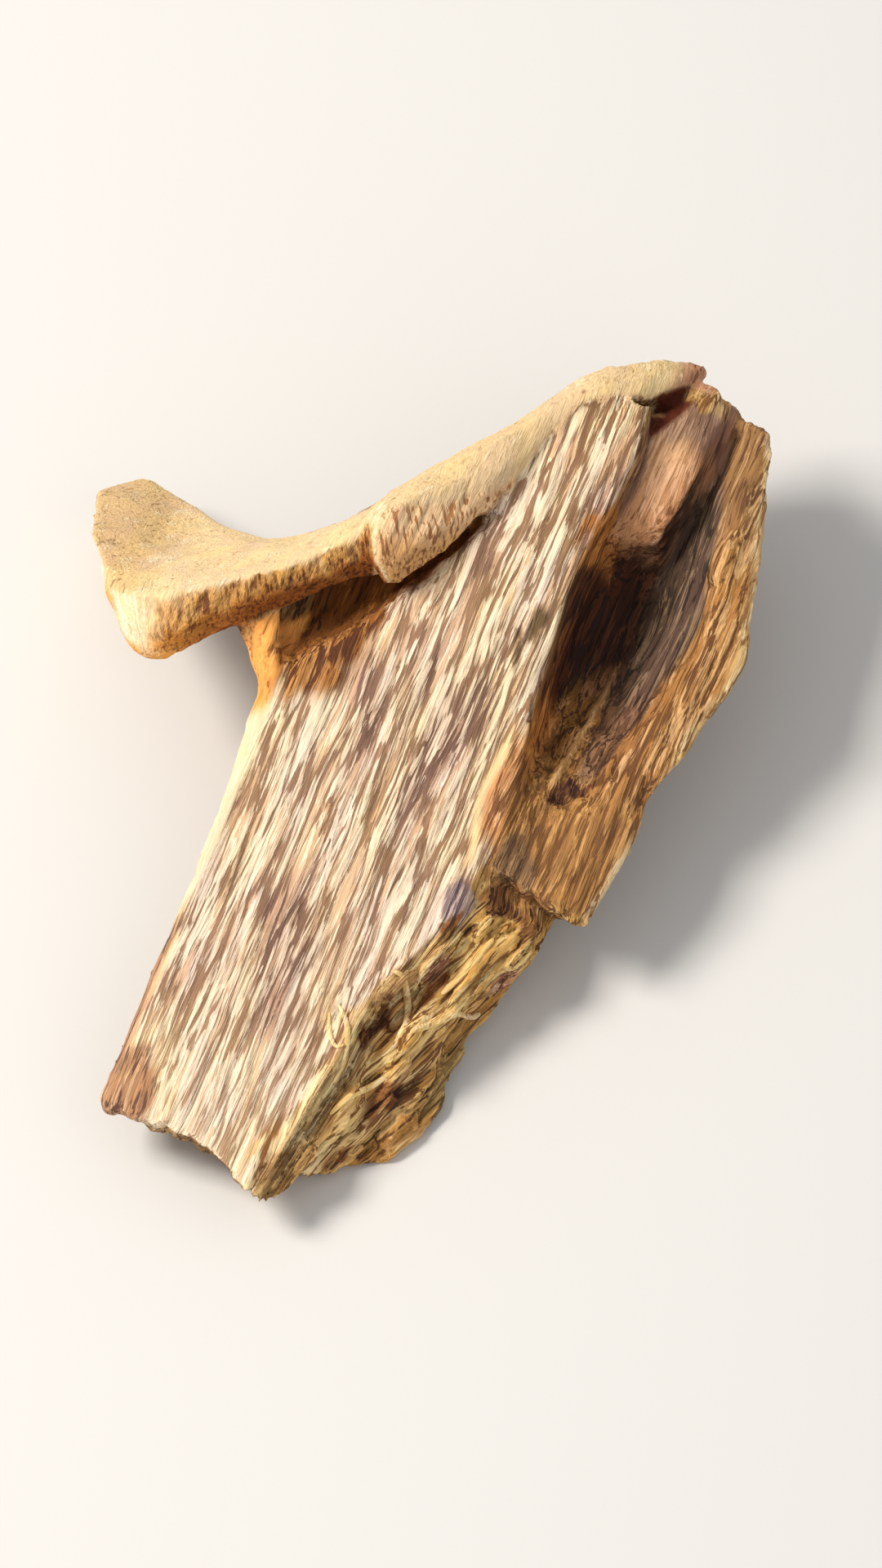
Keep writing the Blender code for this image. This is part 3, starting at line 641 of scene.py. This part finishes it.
def fine_relief(points, normals, shares):
    """How far each vertex moves along its normal and along the grain, in millimetres."""
    v = points[:, 1]
    along_grain = 1 - rise(np.abs(normals[:, 1]), 0.5, 0.9)
    smoothed = 1 - SMOOTHED_BY * np.clip(amount_of(shares, SMOOTH), 0, 1)
    out = (GROOVE_HEIGHT * backs_between(points) - GROOVE_SINK) * along_grain * smoothed
    upright = set_upright(points)
    crumbs = CRUMB_HEIGHT * np.abs(waves(upright, CRUMB, 6.6)) ** 0.6 - CRUMB_SINK
    crumbs += FINE_CRUMB_HEIGHT * octaves(upright, FINE_CRUMB, 3, 4.4)
    out += amount_of(shares, CRUMBLY) * crumbs
    out += GRIT_HEIGHT * octaves(points, GRIT, 2, 6.1)
    stubble = ROW_HEIGHT * waves(points, ROWS, 3.3) + TUFT_HEIGHT * octaves(points, TUFTS, 2)
    out += share_of(shares, *FIBROUS) * stubble
    out += RIDGE_HEIGHT * share_of(shares, "trough ridge")
    broken = rise(np.abs(normals[:, 1]), 0.4, 0.85) * np.maximum(fall(v, 10, 14), rise(v, 99, 101))
    return out, broken * layered(points, SPLINTERS) * np.sign(normals[:, 1])


def wood_piece():
    """The whole piece of wood with its fine broken surface."""
    wood = merged_copy("agarwood_piece", "agarwood")
    apply_modifier(wood, "REMESH", mode="VOXEL", voxel_size=VOXEL, adaptivity=0, use_smooth_shade=True)
    set_places(wood, spread(wood, places(wood), FACET_ROUNDS))
    points = places(wood)
    calm = calm_facing(wood, RELIEF_ROUNDS)
    out, along = fine_relief(points, calm, zone_shares(points, calm))
    off_floor = rise((points @ TURN.T + PLACE)[:, 2], *FOOT_CALM)
    points = points + calm * (out * off_floor)[:, None]
    points[:, 1] += along * off_floor
    laid = points @ TURN.T + PLACE
    laid[:, 2] = np.maximum(laid[:, 2], 0)
    set_places(wood, (laid - PLACE) @ TURN)
    quads = len(wood.data.polygons)
    apply_modifier(wood, "DECIMATE", ratio=min(1.0, MOST_TRIANGLES / (2 * quads)))
    return wood


def rounded(line):
    """The line with its corners cut off three times over."""
    for _ in range(3):
        start, stop = line[:-1], line[1:]
        cut = np.stack([0.75 * start + 0.25 * stop, 0.25 * start + 0.75 * stop], axis=1)
        line = np.concatenate([line[:1], cut.reshape(-1, line.shape[1]), line[-1:]])
    return line


def laid_on(wood, line):
    """The places of the line on the wood's streaked side, with their heights evened out."""
    down = Vector((TURN @ np.array([0, 0, -1.0])).tolist())
    heights = []
    for u, v in line:
        start = Vector(((TURN @ np.array([u, v, OVER_THE_WOOD]) + PLACE) * MM).tolist())
        _, hit, _, _ = wood.ray_cast(start, down)
        heights.append(((np.array(hit) / MM - PLACE) @ TURN)[2])
    heights = np.array(heights)
    for _ in range(6):
        heights[1:-1] = 0.5 * heights[1:-1] + 0.25 * (heights[:-2] + heights[2:])
    return np.column_stack([line, heights + FIBRE_LIFT])


def fibre(wood, line, width):
    """One loose fibre: flattish, and thin at both ends."""
    path = laid_on(wood, rounded(np.array(line)))
    ahead = np.gradient(path, axis=0)
    ahead /= np.linalg.norm(ahead, axis=1, keepdims=True)
    side = np.cross(ahead, (0, 0, 1.0))
    side /= np.linalg.norm(side, axis=1, keepdims=True)
    above = np.cross(side, ahead)
    half = 0.5 * width * np.sin(np.linspace(0.02, math.pi - 0.02, len(path))) ** FIBRE_TAPER
    turns = np.linspace(0, 2 * math.pi, FIBRE_SIDES, endpoint=False)[None, :, None]
    round_it = side[:, None] * np.cos(turns) + FIBRE_FLATNESS * above[:, None] * np.sin(turns)
    rings = path[:, None] + half[:, None, None] * round_it
    corners = ((rings.reshape(-1, 3) @ TURN.T + PLACE) * MM).tolist()
    last = len(corners) - FIBRE_SIDES
    faces = [tuple(range(FIBRE_SIDES)), tuple(range(len(corners) - 1, last - 1, -1))]
    for i in range(0, last, FIBRE_SIDES):
        for k in range(FIBRE_SIDES):
            ahead_of_k = (k + 1) % FIBRE_SIDES
            faces.append((i + k, i + FIBRE_SIDES + k, i + FIBRE_SIDES + ahead_of_k, i + ahead_of_k))
    mesh = bpy.data.meshes.new("fibre")
    mesh.from_pydata(corners, [], faces)
    obj = bpy.data.objects.new("fibre", mesh)
    bpy.context.scene.collection.objects.link(obj)
    activate(obj)
    bpy.ops.object.mode_set(mode="EDIT")
    bpy.ops.mesh.select_all(action="SELECT")
    bpy.ops.mesh.normals_make_consistent(inside=False)
    bpy.ops.object.mode_set(mode="OBJECT")
    bpy.ops.object.shade_smooth()
    return obj


def join_fibres(wood):
    bpy.context.view_layer.update()
    fibres = [fibre(wood, line, width) for line, width in FIBRES]
    activate(wood)
    for obj in fibres:
        obj.select_set(True)
    bpy.ops.object.join()


def look(light, middle, dark, *marks):
    """A finish as one row of numbers: its three woods' colours, then its marks."""
    return [*linear(light)[:3], *linear(middle)[:3], *linear(dark)[:3], *marks]


def paint(obj, points, calm, relief, on_fibre):
    """Stores each vertex's three woods, how strongly the marks show on it, and the strands it lies in."""
    zones = zone_shares(points, calm) + [("fibre", on_fibre)]
    mixed = np.repeat([look(*FINISHES["underside"])], len(points), axis=0)
    for name, share in zones:
        mixed = mixed * (1 - share[:, None]) + np.array(look(*FINISHES[name])) * share[:, None]
    ones = np.ones(len(points))
    bristly = 0.9 * share_of(zones, "strap front", "strap foot") + 0.75 * share_of(zones, *HOOK_EDGES)
    stored = {
        "light_wood": [*mixed[:, 0:3].T, ones],
        "middle_wood": [*mixed[:, 3:6].T, ones],
        "dark_wood": [*mixed[:, 6:9].T, ones],
        "marks": [*mixed[:, 9:12].T, ones],
        # The second channel is the relief by which the shader paints shade into hollows.
        "strands": [backs_between(points), np.clip(0.5 + relief, 0, 1), bristly, ones],
    }
    for name, values in stored.items():
        layer = obj.data.attributes.new(name, "FLOAT_COLOR", "POINT")
        layer.data.foreach_set("color", np.stack(values, axis=1).astype(np.float32).ravel())
    layer = obj.data.attributes.new("lean", "FLOAT", "POINT")
    layer.data.foreach_set("value", flank_shift(points).astype(np.float32))


def paint_wood(wood, own_count):
    """Paints the wood; the vertices after its own ones are the fibres'."""
    points = places(wood)
    calm = calm_facing(wood, PAINT_ROUNDS)
    # How far each vertex stands out of its neighbours' level: hollows get painted shade by it.
    stands_out = np.einsum("ij,ij->i", points - spread(wood, points, LEVEL_ROUNDS), calm)
    on_fibre = (np.arange(len(points)) >= own_count).astype(float)
    paint(wood, points, calm, stands_out * HOLLOW_STRENGTH * (1 - on_fibre), on_fibre)


def add(tree, kind, inputs=None, out=0, **settings):
    """Adds a node with its settings, and links or values for its inputs by name or number."""
    node = tree.nodes.new(kind)
    for name, value in settings.items():
        setattr(node, name, value)
    for key, value in (inputs or {}).items():
        socket = node.inputs[key]
        if isinstance(value, bpy.types.NodeSocket):
            tree.links.new(value, socket)
        else:
            socket.default_value = value
    return node.outputs[out]


def remapped(tree, value, ends, **settings):
    """The value, brought from between the first two ends to between the last two, or to 0 to 1."""
    return add(tree, "ShaderNodeMapRange", {0: value, **dict(enumerate(ends, 1))}, **settings)


def new_material(name):
    material = bpy.data.materials.new(name)
    material.use_nodes = True
    return material, material.node_tree, material.node_tree.nodes["Principled BSDF"]


# Noise in the wood: its size across, along and through the grain in millimetres, its detail and roughness.
# Real fibres are about 0.02 mm wide, too fine to show, so the threads stand for bundles of them.
PATTERNS = {
    "threads": ((0.24, 6.0, 0.24), 2.0, 0.6),
    "lines": ((0.42, 10.0, 0.42), 2.0, 0.6),
    "clusters": ((2.6, 13.0, 2.6), 2.0, 0.5),
    "pores": ((0.32, 1.1, 0.32), 1.0, 0.5),
    "grit": ((0.16, 0.5, 0.16), 2.0, 0.6),
}
# Long strips side by side, and the seam between them: where it is darkest and where it ends, as shares of a
# strip's size.
STRIP = (1.5, 17.0, 1.5)
SEAM = (0.02, 0.13)
# Short fibres that stand across the edges of the strap and the hook, and the line that they follow.
BRISTLE = (0.4, 3.2, 0.4)
BRISTLE_LINE = (0.45, -0.8, -0.4)
# How the wood drifts between yellower and mauver, over patches of the given size.
DRIFT = (4.5, 13.0, 4.5)
YELLOWER = (1.04, 1.0, 0.89, 1.0)
MAUVER = (0.96, 0.91, 0.97, 1.0)
# Spindle-shaped flecks side by side, the broad ones and the fine ones, in millimetres.
SPINDLES = {"broad": (1.25, 17.0, 1.25), "fine": (0.52, 12.0, 0.52)}
# The grain sways over SWAY_SIZE by up to half of SWAY_REACH. The flecks fray by up to half of FRAY, by
# noise of the threads' size with this scale.
SWAY_SIZE = (5, 24, 5)
SWAY_REACH = (2.6, 0, 2.6)
FRAY = (0.9, 5.0, 0.9)
FRAY_SCALE = 0.6
# How much each pattern counts towards pale flecks and dark lines, and the steps in which they and the
# bristles show: each its start, its end and its share of the whole. The backs between the grooves have
# fewer dark lines.
PALE_COUNTS = (("broad", 0.46), ("fine", 0.42), ("clusters", 0.7), ("threads", 0.7))
PALE_STEPS = ((1.94, 2.40, 0.55), (2.10, 2.17, 0.45))
DARK_COUNTS = (("lines", -1.0), ("threads", -0.7), ("seams", 0.3), ("clusters", -0.5))
DARK_STEPS = ((-0.32, 0.12, 0.55), (-0.06, 0.03, 0.45))
DARK_ON_BACKS = -0.25
BRISTLE_STEPS = ((0.46, 0.64, 0.5), (0.53, 0.59, 0.5))
PORE_STEP = (0.56, 0.66)
# How light the wood is: from and to which value of its threads and of its relief, and the light at each.
THREAD_SHADE = (0.3, 0.7, 0.82, 1.15)
# The relief's step is painted shade: hollows darker than crests.
HOLLOW_SHADE = (0.12, 0.5, 0.55, 1.03)
DRIFT_RANGE = (0.36, 0.64)
# How far pale flecks, dark lines and grit stand out of the threads, the bump's depth, and the roughness of
# plain wood and of resin.
PALE_HEIGHT = 0.4
DARK_HEIGHT = -0.5
GRIT_RISE = 0.35
BUMP_DEPTH = 0.14 * MM
ROUGHNESS = (0.85, 0.65)


def in_lumps(tree, place, size):
    """The place, counted in lumps of the given size."""
    return add(tree, "ShaderNodeVectorMath", {0: place, 1: size}, operation="DIVIDE")


def jitter(tree, place, scale):
    """Noise of about -0.5 to 0.5 in each direction."""
    noise = add(tree, "ShaderNodeTexNoise", {"Vector": place, "Scale": scale, "Detail": 2.0}, out="Color")
    return add(tree, "ShaderNodeVectorMath", {0: noise, 1: (0.5, 0.5, 0.5)}, operation="SUBTRACT")


def swaying_grain(tree):
    """Each point in the wood's frame, in millimetres, and the same with its grain laid straight."""
    place = add(tree, "ShaderNodeTexCoord", out="Object")
    turn = Matrix(TURN.tolist()).transposed().to_euler()
    shift = Vector((-PLACE @ TURN).tolist())
    wood = add(tree, "ShaderNodeMapping", {0: place, 1: shift, 2: turn, 3: (1 / MM, 1 / MM, 1 / MM)})
    sway = jitter(tree, in_lumps(tree, wood, SWAY_SIZE), 1.0)
    lean = add(tree, "ShaderNodeAttribute", out="Fac", attribute_name="lean")
    lean = add(tree, "ShaderNodeCombineXYZ", {0: lean})
    upright = add(tree, "ShaderNodeVectorMath", {0: wood, 1: lean}, operation="ADD")
    swayed = {0: sway, 1: SWAY_REACH, 2: upright}
    return wood, add(tree, "ShaderNodeVectorMath", swayed, operation="MULTIPLY_ADD")


def short_fibres(tree, wood):
    """Noise drawn out along BRISTLE_LINE."""
    along = Vector(BRISTLE_LINE).normalized()
    across = along.cross((0, 0, 1)).normalized()
    laid = Matrix((across, along, across.cross(along))).to_euler()
    turned = in_lumps(tree, add(tree, "ShaderNodeMapping", {0: wood, 2: laid}), BRISTLE)
    return add(tree, "ShaderNodeTexNoise", {"Vector": turned, "Scale": 1.0, "Detail": 2.0})


def wood_pattern(tree):
    """The patterns at each point of the wood, nearly all drawn out along its swaying grain."""
    wood, grain = swaying_grain(tree)
    found = {"bristles": short_fibres(tree, wood)}
    for name, (size, detail, roughness) in PATTERNS.items():
        drawn = in_lumps(tree, grain, size)
        settings = {"Vector": drawn, "Scale": 1.0, "Detail": detail, "Roughness": roughness}
        found[name] = add(tree, "ShaderNodeTexNoise", settings)
    fray = jitter(tree, in_lumps(tree, grain, PATTERNS["threads"][0]), FRAY_SCALE)
    frayed = add(tree, "ShaderNodeVectorMath", {0: fray, 1: FRAY, 2: grain}, operation="MULTIPLY_ADD")
    for name, size in SPINDLES.items():
        cells = {"Vector": in_lumps(tree, frayed, size), "Scale": 1.0}
        cells = add(tree, "ShaderNodeTexVoronoi", cells, out="Color")
        found[name] = add(tree, "ShaderNodeSeparateColor", {0: cells})
    strips = {"Vector": in_lumps(tree, frayed, STRIP), "Scale": 1.0}
    seam = add(tree, "ShaderNodeTexVoronoi", strips, feature="DISTANCE_TO_EDGE")
    found["seams"] = remapped(tree, seam, (*SEAM, 1.0, 0.0), interpolation_type="SMOOTHSTEP")
    drift = {"Vector": in_lumps(tree, grain, DRIFT), "Scale": 1.0, "Detail": 3.0}
    found["drift"] = add(tree, "ShaderNodeTexNoise", drift)
    return found


def step_mask(tree, value, steps):
    """A mask that rises in steps, each given as its start, its end and its share of the whole."""
    mask = 0.0
    for *ends, share in steps:
        step = remapped(tree, value, ends, interpolation_type="SMOOTHSTEP")
        mask = add(tree, "ShaderNodeMath", {0: step, 1: share, 2: mask}, operation="MULTIPLY_ADD")
    return mask


def counted(tree, found, counts, start):
    """The start, plus each pattern times how much it counts."""
    total = start
    for name, share in counts:
        total = add(tree, "ShaderNodeMath", {0: found[name], 1: share, 2: total}, operation="MULTIPLY_ADD")
    return total


def mark_masks(tree, found, marks, backs, bristly):
    """How much of the pale flecks, the dark lines and the dark specks shows at each point."""
    light_share, dark_share, specks = add(tree, "ShaderNodeSeparateColor", {0: marks}).node.outputs
    # Pale flecks are whole spindles of lighter wood, more of them where a cluster of them lies. Dark lines
    # are resin between the flecks and in the grooves. Each has soft shading under its crisp core.
    tone = counted(tree, found, PALE_COUNTS, light_share)
    depth = {0: backs, 1: DARK_ON_BACKS, 2: dark_share}
    depth = add(tree, "ShaderNodeMath", depth, operation="MULTIPLY_ADD")
    depth = counted(tree, found, DARK_COUNTS, depth)
    pale = step_mask(tree, tone, PALE_STEPS)
    dark = step_mask(tree, depth, DARK_STEPS)
    standing = step_mask(tree, found["bristles"], BRISTLE_STEPS)
    pale = add(tree, "ShaderNodeMix", {0: bristly, 2: pale, 3: 0.0})
    dark = add(tree, "ShaderNodeMix", {0: bristly, 2: dark, 3: standing})
    spots = remapped(tree, found["pores"], PORE_STEP, interpolation_type="SMOOTHSTEP")
    spots = add(tree, "ShaderNodeMath", {0: spots, 1: specks}, operation="MULTIPLY", use_clamp=True)
    return pale, dark, spots


def wood_colour(tree, found, painted, masks, relief):
    """The three woods laid over each other, then tinted and shaded."""
    pale, dark, spots = masks
    colour = painted["middle_wood"]
    for share, wood in ((pale, "light_wood"), (dark, "dark_wood"), (spots, "dark_wood")):
        laid = {0: share, 6: colour, 7: painted[wood]}
        colour = add(tree, "ShaderNodeMix", laid, out=2, data_type="RGBA")
    # The hue drifts slowly, threads of lighter and duller wood run everywhere, and hollows get painted
    # shade, darker than crests.
    drift = remapped(tree, found["drift"], DRIFT_RANGE)
    tint = add(tree, "ShaderNodeMix", {0: drift, 6: MAUVER, 7: YELLOWER}, out=2, data_type="RGBA")
    colour = add(tree, "ShaderNodeVectorMath", {0: colour, 1: tint}, operation="MULTIPLY")
    fine = remapped(tree, found["threads"], THREAD_SHADE)
    threads_and_hollow_shade = remapped(tree, relief, HOLLOW_SHADE)
    threads_and_hollow_shade = add(tree, "ShaderNodeMath", {0: fine, 1: threads_and_hollow_shade}, operation="MULTIPLY")
    return add(tree, "ShaderNodeVectorMath", {0: colour, 3: threads_and_hollow_shade}, operation="SCALE")


def resin_wood():
    """Raw split agarwood: matt and dry, pale flecks and darker strands of resin that run with the grain."""
    material, tree, shader = new_material("split agarwood")
    found = wood_pattern(tree)
    painted = {
        name: add(tree, "ShaderNodeAttribute", out="Color", attribute_name=name)
        for name in ("light_wood", "middle_wood", "dark_wood", "marks", "strands")
    }
    strands = add(tree, "ShaderNodeSeparateColor", {0: painted["strands"]})
    backs, relief, bristly = strands.node.outputs
    masks = mark_masks(tree, found, painted["marks"], backs, bristly)
    colour = wood_colour(tree, found, painted, masks, relief)
    tree.links.new(colour, shader.inputs["Base Color"])

    pale, dark, _ = masks
    height = found["threads"]
    for mask, share in ((pale, PALE_HEIGHT), (dark, DARK_HEIGHT), (found["grit"], GRIT_RISE)):
        height = add(tree, "ShaderNodeMath", {0: mask, 1: share, 2: height}, operation="MULTIPLY_ADD")
    bump = add(tree, "ShaderNodeBump", {"Height": height, "Strength": 1.0, "Distance": BUMP_DEPTH})
    tree.links.new(bump, shader.inputs["Normal"])
    gloss = remapped(tree, dark, (0.0, 1.0, *ROUGHNESS))
    tree.links.new(gloss, shader.inputs["Roughness"])
    shader.inputs["Specular IOR Level"].default_value = 0.35
    return material


def pale_board():
    """A matt painted board under the piece."""
    material, _, shader = new_material("matt paint")
    shader.inputs["Base Color"].default_value = linear("#E6E5E3")
    shader.inputs["Roughness"].default_value = 0.9
    return material


def make_floor():
    bpy.ops.object.select_all(action="DESELECT")
    bpy.ops.mesh.primitive_plane_add(size=4, location=(0, 0, 0))
    floor = bpy.context.active_object
    floor.name = "floor"
    floor.data.materials.append(pale_board())


# The camera looks at the piece from this angle above the floor and this distance, on the photograph's side.
CAMERA_HEIGHT = math.radians(57)
CAMERA_DISTANCE = 2.0
CAMERA_LENS = 419
LOOK_AT = (0.0107, 0.0011, 0.0082)

# Each light: its turn and height as seen from the piece, in degrees, its distance and size in metres, its
# power in watts and its colour.
LIGHTS = {
    "key": (-74, 50, 0.9, 0.3, 8.0, "#FFF8EE"),
    "fill": (60, 40, 1.0, 0.8, 1.0, "#FFFFFF"),
}
SKY_STRENGTH = 0.42


def look_from(turn, height):
    """The direction from the piece towards a viewer, in the row's frame."""
    return Vector((math.sin(turn) * math.cos(height), -math.cos(turn) * math.cos(height), math.sin(height)))


def make_camera():
    back = look_from(VIEW_TURN, CAMERA_HEIGHT)
    camera = bpy.data.objects.new("camera", bpy.data.cameras.new("camera"))
    bpy.context.scene.collection.objects.link(camera)
    camera.data.lens = CAMERA_LENS
    camera.location = Vector(LOOK_AT) + back * CAMERA_DISTANCE
    camera.rotation_euler = (-back).to_track_quat("-Z", "Y").to_euler()
    camera.data.clip_start = 0.01
    camera.data.clip_end = 20
    bpy.context.scene.camera = camera


def make_lights():
    for name, (turn, height, distance, size, power, colour) in LIGHTS.items():
        back = look_from(math.radians(turn), math.radians(height))
        light = bpy.data.lights.new(name, "AREA")
        light.size = size
        light.energy = power
        light.color = linear(colour)[:3]
        obj = bpy.data.objects.new(name, light)
        obj.location = back * distance
        obj.rotation_euler = (-back).to_track_quat("-Z", "Y").to_euler()
        bpy.context.scene.collection.objects.link(obj)


def make_world():
    world = bpy.data.worlds.new("studio")
    world.use_nodes = True
    background = world.node_tree.nodes["Background"]
    background.inputs["Color"].default_value = linear("#FFFFFF")
    background.inputs["Strength"].default_value = SKY_STRENGTH
    bpy.context.scene.world = world
    bpy.context.scene.view_settings.view_transform = "Standard"


def main():
    wood = wood_piece()
    own_count = len(wood.data.vertices)
    join_fibres(wood)
    paint_wood(wood, own_count)
    wood.data.materials.append(resin_wood())
    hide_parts("agarwood_piece")
    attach(wood, "root")
    make_floor()
    make_camera()
    make_lights()
    make_world()


main()
